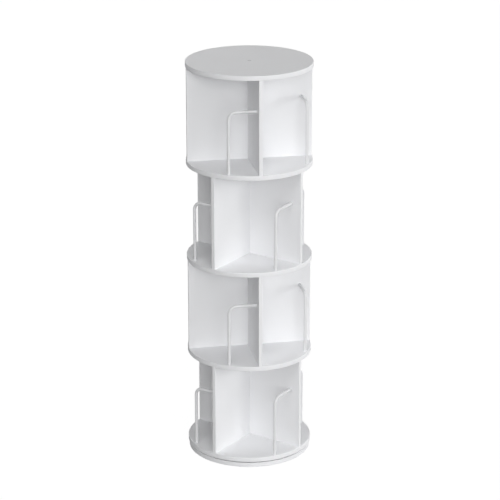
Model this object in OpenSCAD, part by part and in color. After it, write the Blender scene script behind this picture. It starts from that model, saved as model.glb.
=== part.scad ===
// Revolving bookcase: tiers of quarter round bays that turn as one tower on a round base.
// Origin at the middle of the base on the floor, Z up, sizes in millimetres, angles in degrees.
// Every second tier is turned about the axis. Each bay has a bent steel rod that stops the books.

/* [Discs] */
// Diameter of the top and of the shelf discs
disc_d = 400; // [380:5:440]
// Thickness of the discs and of the base
disc_t = 15; // [15:1:22]
// Rounding of the disc rims
disc_edge_r = 1.5; // [0.5:0.25:3]

/* [Tiers] */
// Number of tiers
tiers = 4; // [2:1:5]
// Clear height of a tier, from its shelf to the disc above
tier_clear_h = 300; // [240:5:340]
// Turn of every second tier about the axis
tier_turn = 45; // [30:5:60]
// Thickness of the divider boards
board_t = 12; // [11:1:16]
// How far the divider ends stay inside the rim
board_setback = 1; // [0.5:0.5:5]
// Rounding of the upright edges at the divider ends
board_edge_r = 1; // [0.5:0.25:2]

/* [Rods] */
// Diameter of the bent rods
rod_d = 10; // [6:1:11]
// Distance from the rim to the middle of a rod's leg
rod_inset = 10; // [9:1:20]
// Angle about the axis from a divider to its rod's leg
rod_swing = 30; // [24:1:40]
// Height of a rod's arm above its shelf
rod_h = 195; // [150:5:215]
// Bend radius at the middle of a rod
rod_bend_r = 25; // [15:1:40]
// Depth of the socket that holds a rod's foot in the shelf
foot_socket = 10; // [6:1:11]
// Depth of the socket that holds a rod's arm in the divider
arm_socket = 7; // [4:0.5:8]

/* [Base] */
// Diameter of the base disc
base_d = 394; // [370:2:400]
// Gap between the base and the lowest shelf
base_gap = 4; // [3:0.5:8]
// Diameter of the pads under the base
pad_d = 30; // [20:2:36]
// Thickness of the pads under the base
pad_t = 2; // [1.5:0.5:4]
// Number of pads under the base
pad_count = 6; // [4:1:10]

/* [Turntable bearing] */
// Diameter over the bearing
bearing_d = 300; // [270:5:310]
// Diameter of the bearing balls
ball_d = 4; // [3:0.5:5]
// Number of bearing balls
ball_count = 30; // [16:2:40]
// Thickness of the race flanges, which lie flush in the base and in the shelf
flange_t = 3; // [2.5:0.25:4]
// Width of the race flanges
flange_w = 9; // [8:0.5:12]
// Thickness of the race walls
race_wall_t = 4; // [3.5:0.5:6]
// Number of screws in each race
race_screw_count = 4; // [3:1:8]

/* [Fasteners] */
// Diameter of the long screws that join discs and dividers
screw_d = 5; // [4:0.5:6]
// Length of the long screws
screw_l = 45; // [35:5:60]
// Diameter of the long screws' heads
screw_head_d = 9; // [8:0.5:10]
// Diameter of the short screws that hold the races
race_screw_d = 3.5; // [3:0.25:4]
// Length of the short screws
race_screw_l = 12; // [9:0.5:13]
// Diameter of the short screws' heads
race_screw_head_d = 7; // [6:0.25:7.5]
// Diameter of the wooden dowels
dowel_d = 6; // [5:0.5:8]
// Length of the wooden dowels
dowel_l = 29; // [20:1:40]
// Diameter of the cover cap on the top disc
cap_d = 13; // [12:0.5:16]

/* [Hidden] */
// Overrun of the cuts past a face
over = 1;
// Play round a screw or a dowel
hole_play = 0.05;
// Play round a rod in its socket, and at its end
rod_play = 0.1;
// Play of the half lap, along its slot and at its middle
lap_play = 0.1;
// Depth of the screw heads below the disc's face, under the shelves and at the axis
head_sink = 1.5;
centre_sink = 3;
// Width across the flats of the hexagon sockets, and their depth
hex_w = 3;
hex_depth = 2;
// Widths and depths of the slots in the short screws' heads
slot_w = 0.9;
slot_depth = 0.8;
// Chamfer at the ends of the rods and of the dowels
rod_chamfer = 0.8;
dowel_chamfer = 0.7;
// Depth of the dowels in the disc above, and play at their ends
dowel_up = 9;
dowel_end_play = 0.3;
// Distance from the rim to the outer dowels, and share of it for the inner ones
dowel_inset = 50;
dowel_inner_share = 0.4;
// Space between the outer long screws and the bearing's pocket, and share for the inner ones
screw_land = 12;
screw_inner_share = 0.45;
// Running clearance of the balls in their grooves, and of the cage beside the races
ball_play = 0.05;
cage_play = 0.4;
// Play of the balls in the cage, and height of the cage beyond them
cage_hole_play = 0.1;
cage_rim = 0.5;
// Height of race wall above and below the balls
groove_rim = 1;
// Play round the bearing in its pockets
pocket_play = 1;
// Diameter of the hole in the base that gives a driver access to the upper race's screws
access_d = 11;
// Distance from the rim of the base to the middle of the pads
pad_inset = 27;
// Thickness and rounding of the cap's flange, its depth below the face, and its side play
cap_t = 1;
cap_edge_r = 0.4;
cap_sink = 0.2;
cap_play = 0.15;

// Radii and levels that follow from the sizes above
disc_r = disc_d / 2;
base_r = base_d / 2;
rod_r = rod_d / 2;
tier_pitch = tier_clear_h + disc_t;
base_top = pad_t + disc_t;
board_half = disc_r - board_setback;
rod_along = (disc_r - rod_inset) * cos(rod_swing);
rod_off = (disc_r - rod_inset) * sin(rod_swing);

// The turntable: two grooved races with a ring of caged balls between them
race_split = ball_d / 2;
ball_circle_r = bearing_d / 2 - flange_w - race_wall_t - race_split / 2;
ball_z = base_top + base_gap / 2;
race_zone = ball_d + 2 * groove_rim;
race_h = (base_gap + 2 * flange_t + race_zone) / 2;
lower_race_z = base_top - flange_t;
upper_race_z = base_top + base_gap + flange_t;
upper_race_in_r = ball_circle_r - race_split / 2 - race_wall_t - flange_w;
lower_screw_r = bearing_d / 2 - flange_w / 2;
upper_screw_r = upper_race_in_r + flange_w / 2;
cage_t = race_split - 2 * cage_play;
cage_h = ball_d + 2 * cage_rim;

// Places of the long screws and of the dowels along each divider
screw_out_r = upper_race_in_r - pocket_play - screw_land;
screw_radii = [screw_out_r * screw_inner_share, screw_out_r];
dowel_out_r = disc_r - dowel_inset;
dowel_radii = [dowel_out_r * dowel_inner_share, dowel_out_r];
// The cap's stem reaches down to the head of the uppermost centre screw
cap_stem = centre_sink - cap_sink - cap_t - cap_play;

// Level of the top of shelf j, counted from the lowest. The top disc is number tiers + 1.
function shelf_z(j) = base_top + base_gap + disc_t + (j - 1) * tier_pitch;
// The top tier is square to the axes, and every second one below it is turned
function turn_of(k) = (tiers - k) % 2 == 1 ? tier_turn : 0;
function disc_name(j) = j > tiers ? "top_disc" : str("shelf_disc_", j);
function divider_name(k, letter) = str("tier_", k, "_divider_", letter);
function rod_name(k, i) = str("tier_", k, "_rod_", i);

arms = [0 : 3];
tier_list = [1 : tiers];

paint = [0.93, 0.93, 0.94];
rod_paint = [0.88, 0.89, 0.9];
steel = [0.6, 0.61, 0.63];
alloy = [0.72, 0.73, 0.75];
beech = [0.8, 0.66, 0.46];
dark_rubber = [0.16, 0.16, 0.17];
cap_plastic = [0.82, 0.82, 0.83];
cage_plastic = [0.3, 0.32, 0.35];

// A disc of radius r and thickness t, with a rounded rim above and below
module round_disc(r, t, edge_r) {
    rotate_extrude($fn = 180) {
        square([r - edge_r, t]);
        translate([0, edge_r]) square([r, t - 2 * edge_r]);
        for (y = [edge_r, t - edge_r]) translate([r - edge_r, y]) circle(edge_r, $fn = 24);
    }
}

// A ring between two radii, standing on its lower face
module ring(in_r, out_r, h) {
    rotate_extrude($fn = 120) translate([in_r, 0]) square([out_r - in_r, h]);
}

// A countersunk screw that hangs from the origin, the flat of its head uppermost
module countersunk(head_r, shank_r, l) {
    rotate_extrude($fn = 24) polygon([
        [0, 0], [head_r, 0], [shank_r, shank_r - head_r],
        [shank_r, shank_r - l], [0, -l]
    ]);
}

// The hole for such a screw, its head sunk below the face, which lies at z = sink
module countersunk_hole(head_r, shank_r, l, sink) {
    rotate_extrude($fn = 24) polygon([
        [0, sink + over], [head_r + hole_play, sink + over], [head_r + hole_play, 0],
        [shank_r + hole_play, shank_r - head_r], [shank_r + hole_play, -l], [0, -l]
    ]);
}

module long_screw() {
    difference() {
        countersunk(screw_head_d / 2, screw_d / 2, screw_l);
        translate([0, 0, -hex_depth]) cylinder(h = hex_depth + over, d = hex_w / cos(30), $fn = 6);
    }
}

module long_screw_hole(sink) {
    countersunk_hole(screw_head_d / 2, screw_d / 2, screw_l + hole_play, sink);
}

module race_screw() {
    difference() {
        countersunk(race_screw_head_d / 2, race_screw_d / 2, race_screw_l);
        translate([-race_screw_head_d / 2, -slot_w / 2, -slot_depth])
            cube([race_screw_head_d, slot_w, slot_depth + over]);
    }
}

module race_screw_hole() {
    countersunk_hole(race_screw_head_d / 2, race_screw_d / 2, race_screw_l + hole_play, 0);
}

// Places its children on the shelf of tier k, turned as that tier is
module on_tier(k) {
    translate([0, 0, shelf_z(k)]) rotate(turn_of(k)) children();
}

// The long screws that come up through a shelf into two opposite arms of a divider
module under_screws() {
    for (side = [0, 180], r = screw_radii)
        rotate(side) translate([r, 0, head_sink - disc_t]) mirror([0, 0, 1]) children();
}

// The dowels between two opposite arms of a divider and the disc above
module dowel_places() {
    for (side = [0, 180], r = dowel_radii)
        rotate(side) translate([r, 0, tier_clear_h + dowel_up]) children();
}

// A dowel that hangs from the origin
module dowel() {
    r = dowel_d / 2;
    rotate_extrude($fn = 24) polygon([
        [0, 0], [r - dowel_chamfer, 0], [r, -dowel_chamfer], [r, dowel_chamfer - dowel_l],
        [r - dowel_chamfer, -dowel_l], [0, -dowel_l]
    ]);
}

module dowel_hole() {
    translate([0, 0, -dowel_l - dowel_end_play])
        cylinder(h = dowel_l + 2 * dowel_end_play, d = dowel_d + 2 * hole_play, $fn = 24);
}

// The rod of the arm along +X: a leg on the shelf, a bend, and an arm that enters the divider
module rod() {
    leg_foot = rod_play - foot_socket;
    arm_end = arm_socket - rod_play - board_t / 2;
    leg_l = rod_h - rod_bend_r - leg_foot;
    arm_l = rod_off - rod_bend_r + arm_end;
    translate([rod_along, -rod_off, leg_foot]) rod_straight(leg_l);
    translate([rod_along, rod_bend_r - rod_off, rod_h - rod_bend_r]) rotate([90, 0, -90])
        rotate_extrude(angle = 90, $fn = 96) translate([rod_bend_r, 0]) circle(rod_r, $fn = 32);
    translate([rod_along, arm_end, rod_h]) rotate([90, 0, 0]) rod_straight(arm_l);
}

// A straight stretch of rod with a chamfer at its free end, which is at the origin
module rod_straight(l) {
    cylinder(h = rod_chamfer, r1 = rod_r - rod_chamfer, r2 = rod_r, $fn = 32);
    translate([0, 0, rod_chamfer]) cylinder(h = l - rod_chamfer, r = rod_r, $fn = 32);
}

module foot_socket_hole() {
    translate([rod_along, -rod_off, -foot_socket])
        cylinder(h = foot_socket + over, r = rod_r + rod_play, $fn = 32);
}

module arm_socket_hole() {
    translate([rod_along, arm_socket - board_t / 2, rod_h]) rotate([90, 0, 0])
        cylinder(h = arm_socket + over, r = rod_r + rod_play, $fn = 32);
}

// The outline of a divider seen from above, with its four end corners rounded
module divider_outline() {
    inner = board_half - board_edge_r;
    square([2 * inner, board_t], center = true);
    square([2 * board_half, board_t - 2 * board_edge_r], center = true);
    for (x = [-inner, inner], y = [-1, 1])
        translate([x, y * (board_t / 2 - board_edge_r)]) circle(board_edge_r, $fn = 16);
}

// One of a tier's two crossing boards. Board a is slotted from above, board b from below.
module divider(letter) {
    slot_l = board_t + 2 * lap_play;
    middle = tier_clear_h / 2;
    slot_z = letter == "a" ? middle - lap_play : -over;
    difference() {
        linear_extrude(tier_clear_h) divider_outline();
        translate([-slot_l / 2, -board_t / 2 - over, slot_z])
            cube([slot_l, board_t + 2 * over, middle + lap_play + over]);
        for (side = [0, 180]) rotate(side) arm_socket_hole();
        under_screws() long_screw_hole(head_sink);
        dowel_places() dowel_hole();
        if (letter == "b")
            translate([0, 0, tier_clear_h + disc_t - centre_sink]) long_screw_hole(centre_sink);
    }
}

// The pocket that takes the bearing, on the face at z = 0 and cut downwards
module bearing_pocket() {
    translate([0, 0, -flange_t])
        ring(upper_race_in_r - pocket_play, bearing_d / 2 + pocket_play, flange_t + over);
}

// Places its children at the race screws, on a circle of radius r that starts at an angle
module race_screw_places(r, start) {
    for (i = [0 : race_screw_count - 1])
        rotate(start + i * 360 / race_screw_count) translate([r, 0, 0]) children();
}

// The screws of the two races lie between each other, seen from above
lower_start = 180 / race_screw_count;
upper_start = 0;

module lower_race_screw_places() {
    translate([0, 0, base_top]) race_screw_places(lower_screw_r, lower_start) children();
}

module upper_race_screw_places() {
    translate([0, 0, base_top + base_gap])
        race_screw_places(upper_screw_r, upper_start) mirror([0, 0, 1]) children();
}

// The grooved profile of a race, its flange at the bottom and its groove towards the axis
module race_profile() {
    square([race_wall_t + flange_w, flange_t]);
    square([race_wall_t, race_h]);
}

module ball_groove() {
    rotate_extrude($fn = 120) translate([ball_circle_r, ball_z])
        circle(ball_d / 2 + ball_play, $fn = 32);
}

module base_disc() color(paint) difference() {
    translate([0, 0, pad_t]) round_disc(base_r, disc_t, disc_edge_r);
    translate([0, 0, base_top]) bearing_pocket();
    lower_race_screw_places() race_screw_hole();
    translate([upper_screw_r, 0, pad_t - over]) cylinder(h = disc_t + over, d = access_d, $fn = 32);
}

module floor_pads() color(dark_rubber)
    for (i = [0 : pad_count - 1]) rotate((i + 1 / 2) * 360 / pad_count)
        translate([base_r - pad_inset, 0, 0]) cylinder(h = pad_t, d = pad_d, $fn = 48);

module lower_race() color(alloy) difference() {
    rotate_extrude($fn = 120)
        translate([ball_circle_r + race_split / 2, lower_race_z]) race_profile();
    ball_groove();
    lower_race_screw_places() race_screw_hole();
}

module upper_race() color(alloy) difference() {
    rotate_extrude($fn = 120) translate([ball_circle_r - race_split / 2, upper_race_z])
        rotate(180) race_profile();
    ball_groove();
    upper_race_screw_places() race_screw_hole();
}

module lower_race_screws() color(steel) lower_race_screw_places() race_screw();

module upper_race_screws() color(steel) upper_race_screw_places() race_screw();

// Places its children at the balls
module ball_places() {
    for (i = [0 : ball_count - 1])
        rotate((i + 1 / 2) * 360 / ball_count) translate([ball_circle_r, 0, ball_z]) children();
}

module ball_cage() color(cage_plastic) difference() {
    translate([0, 0, ball_z - cage_h / 2])
        ring(ball_circle_r - cage_t / 2, ball_circle_r + cage_t / 2, cage_h);
    ball_places() rotate([0, 90, 0])
        cylinder(h = ball_d, d = ball_d + 2 * cage_hole_play, center = true, $fn = 32);
}

module bearing_balls() color(steel) ball_places() sphere(d = ball_d, $fn = 32);

// Disc j: shelf sockets and screws above, dowels of the tier below, bearing under the lowest
module disc(j) color(paint) difference() {
    translate([0, 0, shelf_z(j) - disc_t]) round_disc(disc_r, disc_t, disc_edge_r);
    if (j <= tiers) on_tier(j) for (i = arms) rotate(i * 90) foot_socket_hole();
    if (j <= tiers) on_tier(j) for (turn = [0, 90])
        rotate(turn) under_screws() long_screw_hole(head_sink);
    if (j > 1) {
        on_tier(j - 1) for (turn = [0, 90]) rotate(turn) dowel_places() dowel_hole();
        translate([0, 0, shelf_z(j) - centre_sink]) long_screw_hole(centre_sink);
    }
    if (j == 1) {
        translate([0, 0, base_top + base_gap]) mirror([0, 0, 1]) bearing_pocket();
        upper_race_screw_places() race_screw_hole();
    }
    if (j > tiers) translate([0, 0, shelf_z(j) - cap_sink - cap_t])
        cylinder(h = cap_t + cap_sink + over, d = cap_d + 2 * cap_play, $fn = 48);
}

module tier_divider(k, letter) color(paint)
    on_tier(k) rotate(letter == "a" ? 0 : 90) divider(letter);

module tier_rod(k, i) color(rod_paint) on_tier(k) rotate(i * 90) rod();

module divider_screws() color(steel)
    for (k = tier_list) on_tier(k) for (turn = [0, 90]) rotate(turn) under_screws() long_screw();

module centre_screws() color(steel)
    for (k = tier_list) translate([0, 0, shelf_z(k + 1) - centre_sink]) long_screw();

module dowels() color(beech)
    for (k = tier_list) on_tier(k) for (turn = [0, 90]) rotate(turn) dowel_places() dowel();

// A cap let into the top, whose stem plugs the hole over the uppermost centre screw
module top_cap() color(cap_plastic) translate([0, 0, shelf_z(tiers + 1) - cap_sink - cap_t])
    rotate_extrude($fn = 48) {
        translate([0, -cap_stem]) square([screw_head_d / 2, cap_stem]);
        square([cap_d / 2, cap_t - cap_edge_r]);
        square([cap_d / 2 - cap_edge_r, cap_t]);
        translate([cap_d / 2 - cap_edge_r, cap_t - cap_edge_r]) intersection() {
            circle(cap_edge_r, $fn = 24);
            square(cap_edge_r);
        }
    }

base_disc();
floor_pads();
lower_race();
lower_race_screws();
ball_cage();
bearing_balls();
upper_race();
upper_race_screws();
for (j = [1 : tiers + 1]) disc(j);
for (k = tier_list, letter = ["a", "b"])
    tier_divider(k, letter);
for (k = tier_list, i = arms)
    tier_rod(k, i);
divider_screws();
centre_screws();
dowels();
top_cap();
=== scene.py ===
"""The looks of a revolving bookcase: round shelves and crossed uprights that turn on a round base.

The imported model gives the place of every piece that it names. Here the boards, the bent book stops,
the cover cap and the pads are made again as finer surfaces, and every piece gets its finish. Lengths
are in metres and angles in degrees. Z is the axis on which the tower turns.
"""

from __future__ import annotations

import logging
import math
from dataclasses import dataclass, replace
from enum import Enum
from typing import Any, Sequence

import bpy
import numpy as np
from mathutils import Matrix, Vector

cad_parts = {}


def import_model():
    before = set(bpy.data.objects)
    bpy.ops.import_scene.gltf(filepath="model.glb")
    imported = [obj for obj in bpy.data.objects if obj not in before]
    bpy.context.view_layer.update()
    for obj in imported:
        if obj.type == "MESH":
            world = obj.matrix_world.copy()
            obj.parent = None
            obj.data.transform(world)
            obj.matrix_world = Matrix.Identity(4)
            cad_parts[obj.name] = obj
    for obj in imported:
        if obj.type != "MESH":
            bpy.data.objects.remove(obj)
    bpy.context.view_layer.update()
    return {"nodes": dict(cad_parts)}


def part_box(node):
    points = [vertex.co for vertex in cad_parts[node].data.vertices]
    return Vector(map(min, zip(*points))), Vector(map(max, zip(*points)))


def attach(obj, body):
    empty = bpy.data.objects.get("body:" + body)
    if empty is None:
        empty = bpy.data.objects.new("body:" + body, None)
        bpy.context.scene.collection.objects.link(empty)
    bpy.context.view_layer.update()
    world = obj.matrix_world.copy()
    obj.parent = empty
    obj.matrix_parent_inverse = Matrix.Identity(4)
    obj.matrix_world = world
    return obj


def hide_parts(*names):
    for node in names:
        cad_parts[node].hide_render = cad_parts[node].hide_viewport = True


MM = 0.001
LOG = logging.getLogger("bookcase")

# How far the solid that cuts a hole or a pocket stands out of the face in which it opens
OVERRUN = 1 * MM
# Width of the flat stretch beside a rounded edge, which keeps the shading of the face flat
FLAT_REST = 1 * MM
# Steps of a quarter round
QUARTER_STEPS = 6
# An edge that bends by more degrees than this is shaded as a sharp one
SHARP_FROM = 30.0
# Thickness of the uprights, into which the arms of the book stops run
UPRIGHT_THICKNESS = 12 * MM


class Body(str, Enum):
    """The bodies that move against each other."""

    BASE = "base"
    CAGE = "cage"
    TOWER = "tower"


class Slot(str, Enum):
    """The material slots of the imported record."""

    BOARD = "board_paint"
    ROD = "rod_paint"
    RACE = "race_alloy"
    CAGE = "cage_plastic"
    STEEL = "screw_steel"
    DOWEL = "dowel_wood"
    PAD = "pad_rubber"
    CAP = "cap_plastic"


class Face(Enum):
    """The face of a level board in which a hole opens, as the sign of its outward direction."""

    TOP = 1
    UNDERSIDE = -1


class Value:
    """One output of a shader's nodes. Sums, differences and products of values add Math nodes."""

    def __init__(self, graph: Graph, socket: bpy.types.NodeSocket) -> None:
        """Keeps the socket and the graph to which it belongs."""
        self.graph = graph
        self.socket = socket

    def _math(self, operation: str, first: Value | float, second: Value | float) -> Value:
        """Adds one Math node on two terms."""
        return self.graph.value("ShaderNodeMath", {"operation": operation}, {0: first, 1: second})

    def __add__(self, other: Value | float) -> Value:
        """The sum of two values."""
        return self._math("ADD", self, other)

    def __sub__(self, other: Value | float) -> Value:
        """The difference of two values."""
        return self._math("SUBTRACT", self, other)

    def __rsub__(self, other: float) -> Value:
        """A number less this value."""
        return self._math("SUBTRACT", other, self)

    def __mul__(self, other: Value | float) -> Value:
        """The product of two values."""
        return self._math("MULTIPLY", self, other)

    __radd__ = __add__
    __rmul__ = __mul__

    def either(self, other: Value) -> Value:
        """The larger of two values."""
        return self._math("MAXIMUM", self, other)

    def sine(self) -> Value:
        """The sine of this value."""
        return self._math("SINE", self, 0.0)


class Graph:
    """The nodes of one material or of the world."""

    # A Mix node has sockets for each kind of data, and these are the numbers of those for colours
    MIX_LOW = 6
    MIX_HIGH = 7
    MIX_RESULT = 2

    def __init__(self, tree: bpy.types.NodeTree) -> None:
        """Empties the tree, so that every node in it is one of this script's."""
        self.tree = tree
        tree.nodes.clear()

    def node(
        self, kind: str, settings: dict[str, Any] | None = None, inputs: dict[Any, Any] | None = None
    ) -> bpy.types.Node:
        """Adds a node.

        Args:
            kind: The node's type.
            settings: Its properties, which are set before its sockets.
            inputs: What goes into its sockets, by name or number: a value, a number or a colour.

        Returns:
            The new node.
        """
        made = self.tree.nodes.new(kind)
        for name, setting in (settings or {}).items():
            setattr(made, name, setting)
        for name, term in (inputs or {}).items():
            if isinstance(term, Value):
                self.tree.links.new(term.socket, made.inputs[name])
            else:
                made.inputs[name].default_value = term
        return made

    def value(
        self,
        kind: str,
        settings: dict[str, Any] | None = None,
        inputs: dict[Any, Any] | None = None,
        output: str | int = 0,
    ) -> Value:
        """Adds a node and returns one of its outputs as a value."""
        return Value(self, self.node(kind, settings, inputs).outputs[output])

    def place(self, scale: Sequence[float] = (1.0, 1.0, 1.0)) -> Value:
        """The shaded point in the object's own coordinates, each of them times its scale."""
        point = self.value("ShaderNodeTexCoord", output="Object")
        return self.value("ShaderNodeVectorMath", {"operation": "MULTIPLY"}, {0: point, 1: tuple(scale)})

    def axis_distance(self) -> Value:
        """The distance of the shaded point from the Z axis."""
        flat = self.place((1, 1, 0))
        return self.value("ShaderNodeVectorMath", {"operation": "LENGTH"}, {0: flat}, "Value")

    def noise(self, place: Value, size: float, detail: float = 2.0) -> Value:
        """A soft noise from 0 to 1 whose spots are about the given size across."""
        inputs = {"Vector": place, "Scale": 1 / size, "Detail": detail}
        return self.value("ShaderNodeTexNoise", None, inputs, "Fac")

    def step(self, term: Value, start: float, end: float) -> Value:
        """0 where the term is before start, 1 after end, and smooth between them."""
        inputs = {"Value": term, "From Min": start, "From Max": end}
        return self.value("ShaderNodeMapRange", {"interpolation_type": "SMOOTHSTEP"}, inputs, "Result")

    def blend(self, factor: Value, low: Sequence[float], high: Sequence[float]) -> Value:
        """A colour between two colours."""
        inputs = {0: factor, self.MIX_LOW: (*low, 1.0), self.MIX_HIGH: (*high, 1.0)}
        return self.value("ShaderNodeMix", {"data_type": "RGBA"}, inputs, self.MIX_RESULT)

    def relief(self, height: Value, depth: float = 1.0) -> Value:
        """The normal of a surface that rises by the height times the depth."""
        inputs = {"Height": height, "Distance": depth, "Strength": 1.0}
        return self.value("ShaderNodeBump", None, inputs)


def shade(colour: Sequence[float], share: float) -> tuple[float, ...]:
    """A colour times a share."""
    return tuple(share * part for part in colour)


@dataclass(frozen=True)
class Finish:
    """A surface finish. Each kind of finish adds its own colour, roughness and relief.

    Gloss is the strength of its reflection. In every kind a size is that of a pattern's spots, a
    depth its relief, a tone its part in the change of colour, a haze what it adds to the roughness,
    and a share what a colour is multiplied by.
    """

    name: str
    slot: Slot
    colour: tuple[float, float, float]
    roughness: float
    gloss: float = 0.5

    def material(self) -> bpy.types.Material:
        """Builds the finish as a material.

        Returns:
            The new material.
        """
        made = bpy.data.materials.new(self.name)
        made.use_nodes = True
        made.diffuse_color = (*self.colour, 1.0)
        graph = Graph(made.node_tree)
        inputs = {"Specular IOR Level": self.gloss} | self.sockets(graph)
        surface = graph.value("ShaderNodeBsdfPrincipled", None, inputs)
        graph.node("ShaderNodeOutputMaterial", None, {"Surface": surface})
        return made

    def sockets(self, graph: Graph) -> dict[str, Any]:
        """What this kind of finish puts into the shader's sockets."""
        raise NotImplementedError


@dataclass(frozen=True)
class Lacquer(Finish):
    """Satin lacquer on fibreboard, a little more open where it covers the cut edge of a board.

    That edge starts at edge_from, measured from the axis.
    """

    edge_from: float = 198.6 * MM
    edge_fade: float = 0.5 * MM
    edge_haze: float = 0.07
    cloud_size: float = 90 * MM
    cloud_tone: float = 0.7
    cloud_haze: float = 0.08
    peel_size: float = 2.6 * MM
    peel_depth: float = 0.008 * MM
    peel_haze: float = 0.03
    fibre_size: float = 0.35 * MM
    fibre_scale: tuple[float, float, float] = (1, 1, 0.4)
    fibre_depth: float = 0.02 * MM
    fibre_tone: float = 0.5
    mean_haze: float = 0.06
    light_share: float = 1.012
    dark_share: float = 0.985

    def sockets(self, graph: Graph) -> dict[str, Any]:
        """Broad clouds of tone and gloss, the orange peel of sprayed lacquer, and fibrous edges.

        Args:
            graph: The graph of the material.

        Returns:
            What goes into the shader's sockets.
        """
        place = graph.place()
        cloud = graph.noise(place, self.cloud_size, detail=3.0)
        peel = graph.noise(place, self.peel_size)
        edge = graph.step(graph.axis_distance(), self.edge_from, self.edge_from + self.edge_fade)
        fibre = graph.noise(graph.place(self.fibre_scale), self.fibre_size, detail=4.0) * edge
        tone = cloud * self.cloud_tone + fibre * self.fibre_tone
        haze = cloud * self.cloud_haze + peel * self.peel_haze + edge * self.edge_haze
        light = shade(self.colour, self.light_share)
        dark = shade(self.colour, self.dark_share)
        return {
            "Base Color": graph.blend(tone, light, dark),
            "Roughness": haze + (self.roughness - self.mean_haze),
            "Normal": graph.relief(peel * self.peel_depth + fibre * self.fibre_depth),
        }


@dataclass(frozen=True, kw_only=True)
class Grained(Finish):
    """A finish with a fine grain in its relief and gloss, and with broad patches of another tone.

    The patches have the tint, or without one the colour times dark_share.
    """

    patch_size: float
    grain_size: float
    grain_depth: float
    grain_haze: float
    grain_detail: float = 2.0
    dark_share: float = 1.0
    tint: tuple[float, float, float] | None = None
    metallic: float = 0.0

    def sockets(self, graph: Graph) -> dict[str, Any]:
        """The grain as relief and as a change of gloss, and the patches.

        Args:
            graph: The graph of the material.

        Returns:
            What goes into the shader's sockets.
        """
        place = graph.place()
        grain = graph.noise(place, self.grain_size, self.grain_detail)
        patch = graph.noise(place, self.patch_size)
        patch_colour = self.tint or shade(self.colour, self.dark_share)
        return {
            "Base Color": graph.blend(patch, self.colour, patch_colour),
            "Metallic": self.metallic,
            "Roughness": grain * self.grain_haze + (self.roughness - self.grain_haze / 2),
            "Normal": graph.relief(grain, self.grain_depth),
        }


@dataclass(frozen=True)
class PowderCoat(Grained):
    """Satin powder coat on steel, with the close ripple that the melted powder leaves."""

    patch_size: float = 30 * MM
    grain_size: float = 0.9 * MM
    grain_depth: float = 0.006 * MM
    grain_haze: float = 0.06
    grain_detail: float = 1.0
    dark_share: float = 0.985


@dataclass(frozen=True)
class PlatedSteel(Grained):
    """Bare or zinc plated steel, with a fine grain and a faint change of tint."""

    patch_size: float = 4 * MM
    grain_size: float = 0.4 * MM
    grain_depth: float = 0.004 * MM
    grain_haze: float = 0.1
    grain_detail: float = 3.0
    tint: tuple[float, float, float] = (0.55, 0.56, 0.53)
    metallic: float = 1.0


@dataclass(frozen=True)
class MouldedPlastic(Grained):
    """Moulded plastic with the fine erosion of its mould."""

    patch_size: float = 14 * MM
    grain_size: float = 0.25 * MM
    grain_depth: float = 0.006 * MM
    grain_haze: float = 0.08
    dark_share: float = 0.94


@dataclass(frozen=True)
class TurnedMetal(Finish):
    """Metal turned on a lathe about the Z axis, with fine round tool marks."""

    pitch: float = 0.25 * MM
    mark_depth: float = 0.004 * MM
    mark_haze: float = 0.05
    wobble_size: float = 12 * MM
    wobble_turn: float = 1.5
    patch_size: float = 25 * MM
    patch_haze: float = 0.12
    mean_haze: float = 0.08
    dark_share: float = 0.88

    def sockets(self, graph: Graph) -> dict[str, Any]:
        """Round marks at an even pitch, a little uneven in depth, and thin patches of haze.

        The marks follow the sine of the distance from the axis, one turn to each pitch, and a
        noise shifts them by up to wobble_turn radians.

        Args:
            graph: The graph of the material.

        Returns:
            What goes into the shader's sockets.
        """
        place = graph.place()
        wobble = graph.noise(place, self.wobble_size)
        phase = graph.axis_distance() * (2 * math.pi / self.pitch) + wobble * self.wobble_turn
        marks = phase.sine() * 0.5 + 0.5
        patch = graph.noise(place, self.patch_size, detail=3.0)
        haze = patch * self.patch_haze + marks * self.mark_haze
        return {
            "Base Color": graph.blend(patch, self.colour, shade(self.colour, self.dark_share)),
            "Metallic": 1.0,
            "Roughness": haze + (self.roughness - self.mean_haze),
            "Normal": graph.relief(marks * wobble, self.mark_depth),
        }


@dataclass(frozen=True)
class Beech(Finish):
    """Plain beech with its grain along Z and the short dark flecks of its rays."""

    fleck: tuple[float, float, float] = (0.36, 0.2, 0.09)
    grain_size: float = 1.2 * MM
    grain_scale: tuple[float, float, float] = (1, 1, 0.05)
    grain_depth: float = 0.02 * MM
    grain_tone: float = 0.45
    ray_size: float = 0.5 * MM
    ray_scale: tuple[float, float, float] = (1, 1, 0.25)
    ray_from: float = 0.58
    ray_full: float = 0.72
    ray_tone: float = 0.35
    ray_haze: float = 0.1

    def sockets(self, graph: Graph) -> dict[str, Any]:
        """Long narrow streaks of tone, and flecks where a close noise peaks.

        Args:
            graph: The graph of the material.

        Returns:
            What goes into the shader's sockets.
        """
        grain = graph.noise(graph.place(self.grain_scale), self.grain_size, detail=4.0)
        peaks = graph.noise(graph.place(self.ray_scale), self.ray_size)
        rays = graph.step(peaks, self.ray_from, self.ray_full)
        tone = grain * self.grain_tone + rays * self.ray_tone
        return {
            "Base Color": graph.blend(tone, self.colour, self.fleck),
            "Roughness": rays * self.ray_haze + self.roughness,
            "Normal": graph.relief(grain, self.grain_depth),
        }


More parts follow.
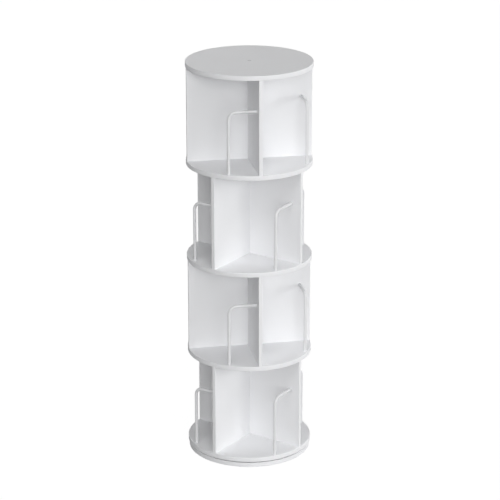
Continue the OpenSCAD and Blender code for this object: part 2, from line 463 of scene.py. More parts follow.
@dataclass(frozen=True)
class FeltRubber(Finish):
    """Anti-slip rubber with a dull, open surface."""

    pit_size: float = 0.5 * MM
    pit_depth: float = 0.05 * MM
    pit_haze: float = 0.1
    dark_share: float = 0.8
    light_share: float = 1.5

    def sockets(self, graph: Graph) -> dict[str, Any]:
        """Close pits that lighten the surface and roughen it.

        Args:
            graph: The graph of the material.

        Returns:
            What goes into the shader's sockets.
        """
        pits = graph.noise(graph.place(), self.pit_size, detail=4.0)
        dark = shade(self.colour, self.dark_share)
        light = shade(self.colour, self.light_share)
        return {
            "Base Color": graph.blend(pits, dark, light),
            "Roughness": pits * self.pit_haze + (self.roughness - self.pit_haze / 2),
            "Normal": graph.relief(pits, self.pit_depth),
        }


class Palette(dict[Finish, bpy.types.Material]):
    """The materials by finish, each built when it is first asked for."""

    def __missing__(self, finish: Finish) -> bpy.types.Material:
        """Builds the material of a finish."""
        self[finish] = finish.material()
        return self[finish]


PALETTE = Palette()

BOARD_WHITE = (0.876, 0.88, 0.893)
# The book stops' white is a shade darker than the boards' white. This is painted shade, which stands in for
# the darker shade on the rods' sides.
STOP_WHITE_WITH_PAINTED_SHADE = (0.8, 0.804, 0.816)
BALL_GREY = (0.62, 0.63, 0.65)
TOWER_LACQUER = Lacquer("tower_lacquer", Slot.BOARD, BOARD_WHITE, roughness=0.55, gloss=0.12)
BASE_LACQUER = replace(TOWER_LACQUER, name="base_lacquer", edge_from=195.6 * MM)
STOP_COAT = PowderCoat("stop_powder_coat", Slot.ROD, STOP_WHITE_WITH_PAINTED_SHADE, roughness=0.48, gloss=0.12)
RACE_ALLOY = TurnedMetal("race_alloy", Slot.RACE, (0.72, 0.73, 0.75), roughness=0.34)
CAGE_PLASTIC = MouldedPlastic("cage_plastic", Slot.CAGE, (0.07, 0.078, 0.09), roughness=0.5)
CAP_PLASTIC = MouldedPlastic("cap_plastic", Slot.CAP, (0.66, 0.665, 0.675), roughness=0.45)
ZINC_PLATE = PlatedSteel("zinc_plate", Slot.STEEL, (0.6, 0.61, 0.63), roughness=0.32)
BALL_STEEL = PlatedSteel("ball_steel", Slot.STEEL, BALL_GREY, roughness=0.1, tint=(0.6, 0.61, 0.63))
DOWEL_BEECH = Beech("dowel_beech", Slot.DOWEL, (0.6, 0.4, 0.2), roughness=0.6)
PAD_RUBBER = FeltRubber("pad_rubber", Slot.PAD, (0.022, 0.022, 0.024), roughness=0.85)


@dataclass(frozen=True)
class Shell:
    """A closed surface as arrays: its points, and its faces as tuples of point numbers."""

    points: np.ndarray
    faces: tuple[tuple[int, ...], ...]

    def turned(self, angle: float) -> Shell:
        """Turns the shell about the Z axis.

        Args:
            angle: The angle in degrees, anticlockwise as seen from above.

        Returns:
            The turned shell.
        """
        cosine = math.cos(math.radians(angle))
        sine = math.sin(math.radians(angle))
        matrix = np.array([[cosine, sine, 0], [-sine, cosine, 0], [0, 0, 1]])
        return Shell(self.points @ matrix, self.faces)

    def around(self, count: int, start: float) -> list[Shell]:
        """Copies of the shell at even angles round the Z axis, the first one at a start angle."""
        return [self.turned(start + 360 * i / count) for i in range(count)]

    def moved(self, shift: Sequence[float]) -> Shell:
        """The shell moved by a vector."""
        return Shell(self.points + np.array(shift), self.faces)

    def mesh(self, name: str) -> bpy.types.Mesh:
        """Puts the shell into a mesh.

        Args:
            name: The name of the mesh.

        Returns:
            The new mesh.
        """
        made = bpy.data.meshes.new(name)
        made.from_pydata(self.points, (), self.faces)
        made.update()
        return made


def together(shells: Sequence[Shell]) -> Shell:
    """Puts several shells into one set of arrays.

    Args:
        shells: The shells. Each one's faces count on from the last one's points.

    Returns:
        One shell that holds them all.
    """
    starts = np.cumsum([0, *(len(shell.points) for shell in shells)])
    faces = tuple(
        tuple(int(start) + corner for corner in face)
        for start, shell in zip(starts, shells)
        for face in shell.faces
    )
    return Shell(np.concatenate([shell.points for shell in shells]), faces)


def stacked(rings: np.ndarray, ends: bool = True) -> Shell:
    """Closes a stack of rings into a shell.

    Point (k, i) is point i of ring k, and each four neighbours make a face. The rings run
    anticlockwise as seen from the end towards which they are stacked, so the faces point outwards.

    Args:
        rings: The rings, as an array of rings by points by 3.
        ends: Whether a flat face closes each end. Otherwise the last ring joins the first.

    Returns:
        The closed shell.
    """
    count, around, _ = rings.shape
    number = np.arange(count * around).reshape(count, around)
    lower = number[:-1] if ends else number
    upper = number[1:] if ends else np.roll(number, -1, 0)
    quads = np.stack([lower, np.roll(lower, -1, 1), np.roll(upper, -1, 1), upper], -1)
    faces = [tuple(quad) for quad in quads.reshape(-1, 4).tolist()]
    if ends:
        faces += [tuple(number[0, ::-1].tolist()), tuple(number[-1].tolist())]
    return Shell(rings.reshape(-1, 3), tuple(faces))


def round_angles(count: int) -> np.ndarray:
    """Even angles once round, in radians."""
    return np.arange(count) * (2 * math.pi / count)


def revolved(profile: np.ndarray, count: int, ends: bool = True) -> Shell:
    """Turns a profile about the Z axis.

    Point (k, i) is (r cos a, r sin a, z) with r and z of the profile's point k and the angle a of
    step i.

    Args:
        profile: Radius and height of each point, outer side upwards.
        count: The steps round the axis.
        ends: Whether flat faces close the ends, or the profile is a closed loop.

    Returns:
        The turned shell.
    """
    angle = round_angles(count)
    circle = np.stack([np.cos(angle), np.sin(angle)], -1)
    flat = profile[:, None, :1] * circle[None]
    height = np.broadcast_to(profile[:, None, 1:], (len(profile), count, 1))
    return stacked(np.concatenate([flat, height], -1), ends)


def block(low: Sequence[float], high: Sequence[float]) -> Shell:
    """Stacks two rings of four corners.

    Args:
        low: The lowest corner of a box.
        high: Its highest corner.

    Returns:
        The box.
    """
    x = [low[0], high[0], high[0], low[0]]
    y = [low[1], low[1], high[1], high[1]]
    return stacked(np.array([[(*point, z) for point in zip(x, y)] for z in (low[2], high[2])]))


def quarter(radius: float) -> np.ndarray:
    """A quarter round from the side of an edge to its face.

    Row k is r (1 - cos t) inwards and r sin t along, with t from 0 to a right angle.
    """
    t = np.linspace(0, math.pi / 2, QUARTER_STEPS + 1)
    return radius * np.stack([1 - np.cos(t), np.sin(t)], -1)


def rounded_side(height: float, low: float, high: float, rest: float = FLAT_REST) -> np.ndarray:
    """Draws the side of a board with rounded edges.

    Each edge is a quarter round, and a flat stretch follows it on the board's face.

    Args:
        height: The height of the side.
        low: The radius of its lower edge.
        high: The radius of its upper edge.
        rest: The width of the flat stretches.

    Returns:
        Pairs of inset and height, from below upwards.
    """
    bottom = quarter(low)[::-1]
    top = quarter(high)
    lower = np.stack([bottom[:, 0], low - bottom[:, 1]], -1)
    upper = np.stack([top[:, 0], height - high + top[:, 1]], -1)
    first = [[low + rest, 0.0]]
    last = [[high + rest, height]]
    return np.concatenate([first, lower, upper, last])


@dataclass(frozen=True)
class Hole:
    """A round hole, as pairs of depth and radius from its mouth inwards."""

    steps: tuple[tuple[float, float], ...]
    steps_round: int = 48

    def below(self, mouth: Hole) -> Hole:
        """Puts a wider hole over the mouth of this one.

        Args:
            mouth: The wider hole, which ends at its own depth.

        Returns:
            Both as one hole.
        """
        floor = mouth.steps[-1][0]
        rest = [step for step in self.steps if step[0] > floor]
        return Hole((*mouth.steps, (floor, self.steps[0][1]), *rest), self.steps_round)

    def tool(self, x: float, y: float, level: float, face: Face) -> Shell:
        """Makes the hole as a solid that stands in the board and a little out of its mouth.

        Args:
            x: The place of its axis along X.
            y: The place of its axis along Y.
            level: The height of the face in which it opens.
            face: Which face that is.

        Returns:
            The solid, as a shell that points outwards.
        """
        steps = ((-OVERRUN, self.steps[0][1]), *self.steps)
        profile = np.array([[radius, level - face.value * depth] for depth, radius in steps])
        if face is Face.TOP:
            profile = profile[::-1]
        return revolved(profile, self.steps_round).moved((x, y, 0))


@dataclass(frozen=True)
class Drilling:
    """The holes of the screws, dowels and book stops, with the play that they need.

    A place is the distance of a screw or a dowel from the axis, along an upright.
    """

    play: float = 0.05 * MM
    screw_radius: float = 2.5 * MM
    screw_length: float = 45 * MM
    head_radius: float = 4.5 * MM
    head_sink: float = 1.5 * MM
    centre_sink: float = 3 * MM
    dowel_radius: float = 3 * MM
    dowel_up: float = 9.3 * MM
    dowel_down: float = 20.3 * MM
    race_screw_radius: float = 1.75 * MM
    race_screw_length: float = 12 * MM
    driver_radius: float = 5.5 * MM
    stop_radius: float = 5.1 * MM
    foot_depth: float = 10 * MM
    arm_depth: float = 7 * MM
    screw_places: tuple[float, float] = (49.05 * MM, 109 * MM)
    dowel_places: tuple[float, float] = (60 * MM, 150 * MM)

    def countersunk(self, sink: float, through: float) -> Hole:
        """The hole of a long countersunk screw.

        Args:
            sink: How deep the screw's head is sunk.
            through: The depth to which the hole runs on.

        Returns:
            The hole.
        """
        head = self.head_radius + self.play
        shank = self.screw_radius + self.play
        cone = sink + self.head_radius - self.screw_radius
        return Hole(((0.0, head), (sink, head), (cone, shank), (through, shank)))

    def straight(self, radius: float, depth: float) -> Hole:
        """A plain hole."""
        return Hole(((0.0, radius), (depth, radius)))

    def dowel(self, depth: float) -> Hole:
        """The hole of a dowel."""
        return self.straight(self.dowel_radius + self.play, depth)


def fresh_object(name: str, data: bpy.types.ID) -> bpy.types.Object:
    """Links a new object to the scene.

    Args:
        name: The name of the object.
        data: Its mesh, lamp or camera.

    Returns:
        The new object.
    """
    made = bpy.data.objects.new(name, data)
    bpy.context.scene.collection.objects.link(made)
    return made


def cut(name: str, body: Shell, tools: Sequence[Shell]) -> bpy.types.Object:
    """Cuts tools out of a body, one after the other.

    Args:
        name: The name of the piece.
        body: What is cut.
        tools: What is taken away. Shells within one tool don't touch each other.

    Returns:
        The piece, with its cuts applied to its mesh.
    """
    piece = fresh_object(name, body.mesh(name))
    cutters = [fresh_object(f"{name}_cutter", tool.mesh(f"{name}_cutter")) for tool in tools]
    for cutter in cutters:
        modifier = piece.modifiers.new("cut", "BOOLEAN")
        modifier.operation = "DIFFERENCE"
        modifier.solver = "MANIFOLD"
        modifier.object = cutter
    graph = bpy.context.evaluated_depsgraph_get()
    finished = bpy.data.meshes.new_from_object(piece.evaluated_get(graph))
    rough = piece.data
    piece.modifiers.clear()
    piece.data = finished
    bpy.data.meshes.remove(rough)
    finished.name = name
    for cutter in cutters:
        mesh = cutter.data
        bpy.data.objects.remove(cutter)
        bpy.data.meshes.remove(mesh)
    return piece


def fit(piece: bpy.types.Object, body: Body, finish: Finish, node: str) -> None:
    """Shades and paints a new piece, puts it on its body, and lets it stand for its node.

    Args:
        piece: The new piece.
        body: The body on which it rides.
        finish: Its finish.
        node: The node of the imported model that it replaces.
    """
    piece.data.shade_smooth()
    piece.data.set_sharp_from_angle(angle=math.radians(SHARP_FROM))
    piece.data.materials.clear()
    piece.data.materials.append(PALETTE[finish])
    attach(piece, body.value)
    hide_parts(node)
    LOG.info("%s: %d faces, %s, stands for %s", piece.name, len(piece.data.polygons), finish.name, node)


def dress(node: bpy.types.Object, finish: Finish) -> None:
    """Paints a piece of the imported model.

    Args:
        node: The piece, which keeps its own mesh.
        finish: Its finish.
    """
    for slot in node.material_slots:
        slot.material = PALETTE[finish]
    LOG.info("%s keeps its own mesh, %s", node.name, finish.name)


@dataclass(frozen=True)
class RoundBoard:
    """A round board: the base, a shelf or the top, turned with soft rims and drilled for its joints."""

    name: str
    node: str
    edge_radius: float = 1.5 * MM
    steps_round: int = 384

    @property
    def low(self) -> float:
        """The height of the board's underside."""
        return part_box(self.node)[0].z

    @property
    def high(self) -> float:
        """The height of the board's upper face."""
        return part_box(self.node)[1].z

    @property
    def radius(self) -> float:
        """The board's radius."""
        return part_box(self.node)[1].x

    @property
    def thickness(self) -> float:
        """The board's thickness."""
        return self.high - self.low

    @property
    def through(self) -> float:
        """The depth of a hole that runs right through the board."""
        return self.thickness + OVERRUN

    def body(self) -> Shell:
        """Turns a side with rounded edges about the axis.

        Returns:
            The board before it is drilled.
        """
        side = rounded_side(self.thickness, self.edge_radius, self.edge_radius)
        profile = np.stack([self.radius - side[:, 0], self.low + side[:, 1]], -1)
        return revolved(profile, self.steps_round)

    def build(self, body: Body, finish: Finish, tools: Sequence[Shell]) -> None:
        """Drills the board and fits it."""
        fit(cut(self.name, self.body(), tools), body, finish, self.node)


@dataclass(frozen=True)
class BookStop:
    """A bent rod: its leg stands in the shelf and its arm runs into the side of an upright.

    The rod lies in a plane square to the upright, at the distance along from the axis, and its leg
    stands off the upright's middle. Its foot goes down into the shelf and its reach past the
    upright's middle.
    """

    radius: float = 5 * MM
    along: float = 164.545 * MM
    off: float = 95 * MM
    height: float = 195 * MM
    bend_radius: float = 25 * MM
    foot: float = 9.9 * MM
    reach: float = 0.9 * MM
    chamfer: float = 0.8 * MM
    bend_steps: int = 32
    steps_round: int = 40

    def path(self) -> tuple[np.ndarray, np.ndarray, np.ndarray]:
        """Draws the rod's middle line in its own plane.

        The leg rises, the bend turns by a right angle about a point bend_radius towards the
        upright, and the arm runs on level. The chamfer at each end narrows the radius.

        Returns:
            The places, the directions and the radii along the line.
        """
        turn = np.linspace(0, math.pi / 2, self.bend_steps + 1)
        across = -self.off + self.bend_radius * (1 - np.cos(turn))
        rise = self.height - self.bend_radius * (1 - np.sin(turn))
        leg = np.array([-self.foot, -self.foot + self.chamfer, 0.0])
        arm = np.array([-UPRIGHT_THICKNESS / 2, self.reach - self.chamfer, self.reach])
        places = np.concatenate(
            [
                np.stack([np.full(len(leg), -self.off), leg], -1),
                np.stack([across, rise], -1),
                np.stack([arm, np.full(len(arm), self.height)], -1),
            ]
        )
        heading = np.concatenate([np.zeros(len(leg)), turn, np.full(len(arm), math.pi / 2)])
        radii = np.full(len(places), self.radius)
        radii[[0, -1]] -= self.chamfer
        return places, heading, radii

    def shell(self) -> Shell:
        """Carries a circle along the rod's path.

        Point (k, i) is the place k plus its radius times cos a along X and times sin a along the
        path's own normal.

        Returns:
            The rod beside the upright along +X, standing on a shelf at z = 0.
        """
        places, heading, radii = self.path()
        angle = round_angles(self.steps_round)
        normal = np.stack([np.zeros_like(heading), np.cos(heading), -np.sin(heading)], -1)
        middle = np.stack([np.full(len(places), self.along), *places.T], -1)
        rings = (
            middle[:, None]
            + radii[:, None, None] * np.cos(angle)[None, :, None] * np.array([1.0, 0, 0])
            + radii[:, None, None] * np.sin(angle)[None, :, None] * normal[:, None]
        )
        return stacked(rings)


@dataclass(frozen=True)
class Upright:
    """One of the two crossing boards of a tier, half lapped with the other at the axis."""

    drilling: Drilling
    stop: BookStop
    half_length: float = 199 * MM
    thickness: float = UPRIGHT_THICKNESS
    end_radius: float = 1 * MM
    joint_radius: float = 0.3 * MM
    joint_rest: float = 0.3 * MM
    lap_play: float = 0.1 * MM
    height: float = 300 * MM
    shelf_thickness: float = 15 * MM

    def outline(self) -> tuple[np.ndarray, np.ndarray]:
        """Draws the board as seen from above, with its rounded corners.

        Each corner is a quarter circle, and a point on the straight sides just beyond it keeps
        the shading of the sides flat.

        Returns:
            The points and their outward directions.
        """
        t = np.radians(np.linspace(0, 90, QUARTER_STEPS + 1))
        arc = np.stack([np.cos(t), np.sin(t)], -1)
        inner = np.array([self.half_length, self.thickness / 2]) - self.end_radius
        beyond = np.array([[0.0, -FLAT_REST], [-FLAT_REST, 0.0]])
        points, outward = [], []
        for sign in np.array([(1, 1), (-1, 1), (-1, -1), (1, -1)]):
            bow = arc * sign
            ends = beyond * sign
            if sign[0] != sign[1]:
                bow, ends = bow[::-1], ends[::-1]
            corner = inner * sign + self.end_radius * bow
            points += [corner[0] + ends[0], *corner, corner[-1] + ends[1]]
            outward += [bow[0], *bow, bow[-1]]
        return np.array(points), np.array(outward)

    def body(self) -> Shell:
        """Carries the outline upwards, drawn in at both ends.

        Returns:
            The board before it is cut.
        """
        outline, outward = self.outline()
        side = rounded_side(self.height, self.joint_radius, self.joint_radius, self.joint_rest)
        flat = outline[None] - side[:, None, :1] * outward[None]
        height = np.broadcast_to(side[:, None, 1:], (*flat.shape[:2], 1))
        return stacked(np.concatenate([flat, height], -1))

    def slot(self, slotted_above: bool) -> Shell:
        """The slot that takes the other board of the tier, from one edge to half the height.

        Args:
            slotted_above: Whether it opens at the upper edge.

        Returns:
            The slot as a box that stands out of the board on all its open sides.
        """
        reach = self.thickness
        middle = self.height / 2
        half_width = self.thickness / 2 + self.lap_play
        if slotted_above:
            low, high = middle - self.lap_play, self.height + reach
        else:
            low, high = -reach, middle + self.lap_play
        return block((-half_width, -reach, low), (half_width, reach, high))

    def socket(self, side: float) -> Shell:
        """The hole that a book stop's arm enters.

        Args:
            side: The angle of the arm of the board that it is in.

        Returns:
            The hole as a solid.
        """
        stop = self.drilling.straight(self.drilling.stop_radius, self.drilling.arm_depth)
        level = stop.tool(0, 0, 0, Face.TOP)
        x, y, z = level.points.T
        laid = np.stack([x, -z - self.thickness / 2, y], -1)
        return Shell(laid, level.faces).moved((self.stop.along, 0, self.stop.height)).turned(side)

    def holes(self, slotted_above: bool) -> list[Shell]:
        """The sockets of the book stops, and the holes of the screws and the dowels.

        Args:
            slotted_above: Whether the slot takes the place of the hole for the centre screw.

        Returns:
            The holes as solids.
        """
        drilling = self.drilling
        shank = drilling.screw_radius + drilling.play
        screw_end = drilling.screw_length + drilling.play
        screw = drilling.straight(shank, screw_end + drilling.head_sink - self.shelf_thickness)
        dowel = drilling.dowel(drilling.dowel_down)
        holes = [self.socket(side) for side in (0, 180)]
        for side in (-1, 1):
            holes += [screw.tool(side * place, 0, 0, Face.UNDERSIDE) for place in drilling.screw_places]
            holes += [dowel.tool(side * place, 0, self.height, Face.TOP) for place in drilling.dowel_places]
        if not slotted_above:
            screw = drilling.straight(shank, screw_end + drilling.centre_sink - self.shelf_thickness)
            holes.append(screw.tool(0, 0, self.height, Face.TOP))
        return holes

    def build(self, name: str, node: str, turn: float, slotted_above: bool) -> None:
        """Cuts the board, turns it to its place and fits it.

        Args:
            name: The name of the piece.
            node: The node for which it stands.
            turn: The angle of the board.
            slotted_above: Whether its slot opens upwards.
        """
        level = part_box(node)[0].z
        shells = [self.body(), self.slot(slotted_above), together(self.holes(slotted_above))]
        body, *tools = [shell.turned(turn).moved((0, 0, level)) for shell in shells]
        fit(cut(name, body, tools), Body.TOWER, TOWER_LACQUER, node)


@dataclass(frozen=True)
class CoverCap:
    """The cap let into the top over the uppermost screw: a thin rounded plate on a short stem."""

    radius: float = 6.5 * MM
    stem_radius: float = 4.5 * MM
    plate: float = 1 * MM
    edge_radius: float = 0.4 * MM
    crown: float = 0.12 * MM
    crown_flat: float = 0.5 * MM
    crown_steps: int = 8
    steps_round: int = 64
    play: float = 0.15 * MM
    sink: float = 0.2 * MM

    @property
    def seat(self) -> Hole:
        """The recess in the board in which the plate lies."""
        radius = self.radius + self.play
        return Hole(((0.0, radius), (self.plate + self.sink, radius)))

    def build(self, name: str, node: str) -> None:
        """Turns the cap's profile and fits it.

        The profile runs up the stem, out under the plate, up its rounded edge and in over a low
        crown, whose height falls with the square of the radius.

        Args:
            name: The name of the piece.
            node: The node for which it stands.
        """
        low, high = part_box(node)
        under = high.z - self.plate
        edge = quarter(self.edge_radius)
        rim = np.stack([self.radius - edge[:, 0], high.z - self.edge_radius - self.crown + edge[:, 1]], -1)
        inward = np.linspace(rim[-1, 0], self.crown_flat, self.crown_steps + 1)[1:]
        rise = self.crown * (1 - (inward / rim[-1, 0]) ** 2)
        crown = np.stack([inward, high.z - self.crown + rise], -1)
        stem = [[self.stem_radius, low.z], [self.stem_radius, under], [self.radius, under]]
        profile = np.concatenate([stem, rim, crown])
        piece = fresh_object(name, revolved(profile, self.steps_round).mesh(name))
        fit(piece, Body.TOWER, CAP_PLASTIC, node)


@dataclass(frozen=True)
class Turntable:
    """The base and the bearing in it: pads, two rings let into the boards, and caged balls."""

    drilling: Drilling = Drilling()
    pocket_inner: float = 121 * MM
    pocket_outer: float = 151 * MM
    pocket_depth: float = 3 * MM
    pocket_steps: int = 256
    lower_screw_place: float = 145.5 * MM
    upper_screw_place: float = 126.5 * MM
    ring_screws: int = 4
    pads: int = 6
    pad_radius: float = 15 * MM
    pad_place: float = 170 * MM
    pad_low_edge: float = 0.5 * MM
    pad_high_edge: float = 0.1 * MM
    pad_rest: float = 0.5 * MM
    pad_steps: int = 64

    def seat(self, level: float, face: Face, screw_place: float, start: float) -> list[Shell]:
        """The pocket of a ring and the holes of its screws.

        Args:
            level: The height of the face into which they are cut.
            face: Which face that is.
            screw_place: The distance of the screws from the axis.
            start: The angle of the first screw.

        Returns:
            The pocket as one solid, and the holes as another.
        """
        out = face.value * OVERRUN
        depth = face.value * self.pocket_depth
        near, far = sorted([level + out, level - depth])
        outer, inner = self.pocket_outer, self.pocket_inner
        profile = np.array([[outer, near], [outer, far], [inner, far], [inner, near]])
        radius = self.drilling.race_screw_radius + self.drilling.play
        end = self.drilling.race_screw_length + self.drilling.play
        hole = self.drilling.straight(radius, end).tool(screw_place, 0, level, face)
        pocket = revolved(profile, self.pocket_steps, ends=False)
        return [pocket, together(hole.around(self.ring_screws, start))]

    def build(self, nodes: dict[str, bpy.types.Object]) -> None:
        """Builds the base and its pads, and paints the bearing's pieces.

        Args:
            nodes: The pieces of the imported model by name.
        """
        base = RoundBoard("base_board", "base_disc")
        driver = self.drilling.straight(self.drilling.driver_radius, base.through)
        tools = self.seat(base.high, Face.TOP, self.lower_screw_place, 180 / self.ring_screws)
        tools.append(driver.tool(self.upper_screw_place, 0, base.high, Face.TOP))
        base.build(Body.BASE, BASE_LACQUER, tools)
        self.build_pads()
        dress(nodes["lower_race"], RACE_ALLOY)
        dress(nodes["upper_race"], RACE_ALLOY)
        dress(nodes["ball_cage"], CAGE_PLASTIC)
        dress(nodes["bearing_balls"], BALL_STEEL)
        dress(nodes["lower_race_screws"], ZINC_PLATE)
        dress(nodes["upper_race_screws"], ZINC_PLATE)

    def build_pads(self) -> None:
        """Turns one pad with a soft lower edge and sets copies of it under the base."""
        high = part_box("floor_pads")[1].z
        side = rounded_side(high, self.pad_low_edge, self.pad_high_edge, self.pad_rest)
        profile = np.stack([self.pad_radius - side[:, 0], side[:, 1]], -1)
        pad = revolved(profile, self.pad_steps).moved((self.pad_place, 0, 0))
        pads = together(pad.around(self.pads, 180 / self.pads))
        fit(fresh_object("base_pads", pads.mesh("base_pads")), Body.BASE, PAD_RUBBER, "floor_pads")


@dataclass(frozen=True)
class Tower:
    """The part that turns: five round boards, four pairs of uprights and sixteen book stops."""

    tiers: int = 4
    arms: int = 4
    tier_turn: float = 45
    drilling: Drilling = Drilling()
    stop: BookStop = BookStop()
    cap: CoverCap = CoverCap()

    def turn_of(self, tier: int) -> float:
        """The turn of a tier: the top one is square to the axes and every second one is turned."""
        return self.tier_turn if (self.tiers - tier) % 2 else 0.0

    def build(self, nodes: dict[str, bpy.types.Object], turntable: Turntable) -> None:
        """Builds the boards from the lowest shelf to the top, and what stands between them.

        Args:
            nodes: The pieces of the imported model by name.
            turntable: What the lowest shelf rests on.
        """
        for number in range(1, self.tiers + 2):
            self.build_board(number, turntable)
        upright = Upright(self.drilling, self.stop)
        for tier in range(1, self.tiers + 1):
            turn = self.turn_of(tier)
            for letter, across in (("a", 0), ("b", 90)):
                name = f"tier_{tier}_upright_{letter}"
                node = f"tier_{tier}_divider_{letter}"
                upright.build(name, node, turn + across, slotted_above=letter == "a")
            for arm in range(self.arms):
                self.build_stop(tier, arm)
        self.cap.build("top_cover_cap", "top_cap")
        dress(nodes["divider_screws"], ZINC_PLATE)
        dress(nodes["centre_screws"], ZINC_PLATE)
        dress(nodes["dowels"], DOWEL_BEECH)

    def holes_for_tier_above(self, board: RoundBoard, tier: int) -> list[Shell]:
        """The holes for the feet of the book stops and for the screws that hold the uprights.

        Args:
            board: The board in which they are.
            tier: The tier that stands on it.

        Returns:
            The holes as solids.
        """
        drilling, turn = self.drilling, self.turn_of(tier)
        foot = drilling.straight(drilling.stop_radius, drilling.foot_depth)
        screw = drilling.countersunk(drilling.head_sink, board.through)
        holes = foot.tool(self.stop.along, -self.stop.off, board.high, Face.TOP).around(self.arms, turn)
        for place in drilling.screw_places:
            holes += screw.tool(place, 0, board.low, Face.UNDERSIDE).around(self.arms, turn)
        return holes

    def holes_for_tier_below(self, board: RoundBoard, tier: int) -> list[Shell]:
        """The holes for the dowels and for the long screw at the middle.

        Args:
            board: The board in which they are.
            tier: The tier on which it rests.

        Returns:
            The holes as solids.
        """
        drilling, turn = self.drilling, self.turn_of(tier)
        dowel = drilling.dowel(drilling.dowel_up)
        holes = []
        for place in drilling.dowel_places:
            holes += dowel.tool(place, 0, board.low, Face.UNDERSIDE).around(self.arms, turn)
        screw = drilling.countersunk(drilling.centre_sink, board.through)
        if tier == self.tiers:
            screw = screw.below(self.cap.seat)
        return [*holes, screw.tool(0, 0, board.high, Face.TOP)]

    def build_board(self, number: int, turntable: Turntable) -> None:
        """Drills one board for the tier that stands on it and for the tier below it.

        Args:
            number: The number of the board, from the lowest shelf upwards.
            turntable: What the lowest shelf rests on.
        """
        is_top = number > self.tiers
        name = "top_board" if is_top else f"shelf_board_{number}"
        board = RoundBoard(name, "top_disc" if is_top else f"shelf_disc_{number}")
        holes = [] if is_top else self.holes_for_tier_above(board, number)
        if number > 1:
            holes += self.holes_for_tier_below(board, number - 1)
        tools = [together(holes)]
        if number == 1:
            tools += turntable.seat(board.low, Face.UNDERSIDE, turntable.upper_screw_place, 0)
        board.build(Body.TOWER, TOWER_LACQUER, tools)

    def build_stop(self, tier: int, arm: int) -> None:
        """Bends one book stop and stands it on its shelf.

        Args:
            tier: Its tier.
            arm: The number of the upright's arm beside which it stands, from 0.
        """
        node = f"tier_{tier}_rod_{arm + 1}"
        name = f"tier_{tier}_book_stop_{arm + 1}"
        turn = self.turn_of(tier) + arm * 360 / self.arms
        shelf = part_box(node)[0].z + self.stop.foot
        shell = self.stop.shell().turned(turn).moved((0, 0, shelf))
        fit(fresh_object(name, shell.mesh(name)), Body.TOWER, STOP_COAT, node)


def bearing(azimuth: float, elevation: float) -> Vector:
    """The direction out from the tower. Azimuth 0 is in front of it and 90 on its right."""
    a, e = math.radians(azimuth), math.radians(elevation)
    return Vector((math.sin(a) * math.cos(e), -math.cos(a) * math.cos(e), math.sin(e)))


def aim(made: bpy.types.Object, direction: Vector) -> None:
    """Points a lamp or the camera in a direction, its upper side upwards."""
    made.rotation_mode = "QUATERNION"
    made.rotation_quaternion = direction.to_track_quat("-Z", "Y")


@dataclass(frozen=True)
class Lamp:
    """A far soft lamp, which lights the tower alike from top to foot.

    Azimuth and elevation say where it hangs as seen from the tower, and spread is its width there.
    """

    name: str
    azimuth: float
    elevation: float
    strength: float
    spread: float = 30.0

    def build(self) -> None:
        """Hangs the lamp and turns it towards the tower."""
        light = bpy.data.lights.new(self.name, "SUN")
        light.angle = math.radians(self.spread)
        light.energy = self.strength
        out = bearing(self.azimuth, self.elevation)
        made = fresh_object(self.name, light)
        made.location = out
        aim(made, -out)


@dataclass(frozen=True)
class ViewPoint:
    """The camera, at the viewing angle and distance of the photograph.

    Distance and height are those of the camera from the axis and the floor, and it stands aside to
    its own right. The focal length is given in pixels of an image image_pixels wide.
    """

    azimuth: float = -10.36
    pitch: float = 19.201
    distance: float = 6.1769
    height: float = 2.8243
    aside: float = 2.05 * MM
    focal_pixels: float = 2043.7
    image_pixels: float = 500.0
    sensor: float = 36.0
    clip_end: float = 100.0

    def build(self) -> None:
        """Sets up the camera and makes it the scene's own."""
        data = bpy.data.cameras.new("camera")
        data.sensor_width = self.sensor
        data.lens = self.focal_pixels * self.sensor / self.image_pixels
        data.clip_end = self.clip_end
        made = fresh_object("camera", data)
        a = math.radians(self.azimuth)
        right = Vector((math.cos(a), math.sin(a), 0))
        made.location = Vector((math.sin(a) * self.distance, -math.cos(a) * self.distance, self.height))
        made.location += self.aside * right
        aim(made, -bearing(self.azimuth, self.pitch))
        bpy.context.scene.camera = made


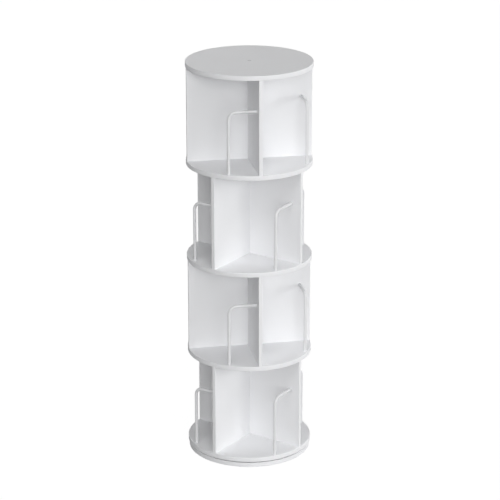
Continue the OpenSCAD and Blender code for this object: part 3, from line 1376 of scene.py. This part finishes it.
@dataclass(frozen=True)
class Studio:
    """A white floor under soft lamps, and a world that shows white and lights the shadows.

    Of the floor's look the part white_share is plain white, of the strength white_level.
    """

    ambient: float = 0.05
    floor_radius: float = 60.0
    floor_steps: int = 64
    floor_colour: tuple[float, float, float] = (0.5, 0.5, 0.5)
    white_share: float = 0.86
    white_level: float = 1.13
    lamps: tuple[Lamp, ...] = (
        Lamp("front", -3, 12, 1.23),
        Lamp("overhead", 0, 65, 0.5),
        Lamp("left_high", -30, 42, 0.47),
        Lamp("left_low", -60, 5, 0.16),
        Lamp("right_high", 65, 20, 0.48),
        Lamp("right_low", 55, 5, 0.87),
        Lamp("back_right", 118, 5, 1.4),
        Lamp("back_left", -172, 3, 1.2),
    )
    view: ViewPoint = ViewPoint()

    def seen(self, graph: Graph) -> Value:
        """Tells the rays that show the background from those that light the tower.

        Args:
            graph: The graph of the floor or of the world.

        Returns:
            1 for the camera's rays and those that metal or glass sends on, and otherwise 0.
        """
        path = graph.node("ShaderNodeLightPath")
        camera, glossy, through = (
            Value(graph, path.outputs[f"Is {ray} Ray"]) for ray in ("Camera", "Glossy", "Transmission")
        )
        return camera.either(glossy).either(through)

    def build(self) -> None:
        """Sets the view transform, the world, the floor, the lamps and the camera."""
        scene = bpy.context.scene
        scene.view_settings.view_transform = "Standard"
        self.build_world(scene)
        self.build_floor()
        for lamp in self.lamps:
            lamp.build()
        self.view.build()

    def build_world(self, scene: bpy.types.Scene) -> None:
        """Makes a world that looks white and shines at its own lower level.

        Args:
            scene: The scene that gets it.
        """
        scene.world = bpy.data.worlds.new("studio")
        scene.world.use_nodes = True
        graph = Graph(scene.world.node_tree)
        seen = self.seen(graph)
        strength = seen + (1 - seen) * self.ambient
        inputs = {"Color": (1, 1, 1, 1), "Strength": strength}
        background = graph.value("ShaderNodeBackground", None, inputs)
        graph.node("ShaderNodeOutputWorld", None, {"Surface": background})

    def floor_material(self) -> bpy.types.Material:
        """Makes a surface that looks white but for a share of its lit colour, which keeps shadows.

        From below it is clear, so that the tower can be looked at from there.

        Returns:
            The new material.
        """
        made = bpy.data.materials.new("floor")
        made.use_nodes = True
        graph = Graph(made.node_tree)
        lit = graph.value("ShaderNodeBsdfDiffuse", None, {"Color": (*self.floor_colour, 1)})
        white = {"Color": (1, 1, 1, 1), "Strength": self.white_level}
        bright = graph.value("ShaderNodeEmission", None, white)
        share = self.seen(graph) * self.white_share
        front = graph.value("ShaderNodeMixShader", None, {0: share, 1: lit, 2: bright})
        clear = graph.value("ShaderNodeBsdfTransparent")
        behind = graph.value("ShaderNodeNewGeometry", output="Backfacing")
        both = graph.value("ShaderNodeMixShader", None, {0: behind, 1: front, 2: clear})
        graph.node("ShaderNodeOutputMaterial", None, {"Surface": both})
        return made

    def build_floor(self) -> None:
        """Lays the round floor, as one face whose point i is (r cos a, r sin a, 0) at step i."""
        angle = round_angles(self.floor_steps)
        ring = self.floor_radius * np.stack([np.cos(angle), np.sin(angle), 0 * angle], -1)
        mesh = Shell(ring, (tuple(range(len(ring))),)).mesh("floor")
        mesh.materials.append(self.floor_material())
        fresh_object("floor", mesh)


def main() -> None:
    """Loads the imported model, builds the bookcase round it and lights it."""
    logging.basicConfig(level=logging.INFO, format="%(message)s")
    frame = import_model()
    turntable = Turntable()
    turntable.build(frame["nodes"])
    Tower().build(frame["nodes"], turntable)
    Studio().build()


if __name__ == "__main__":
    main()
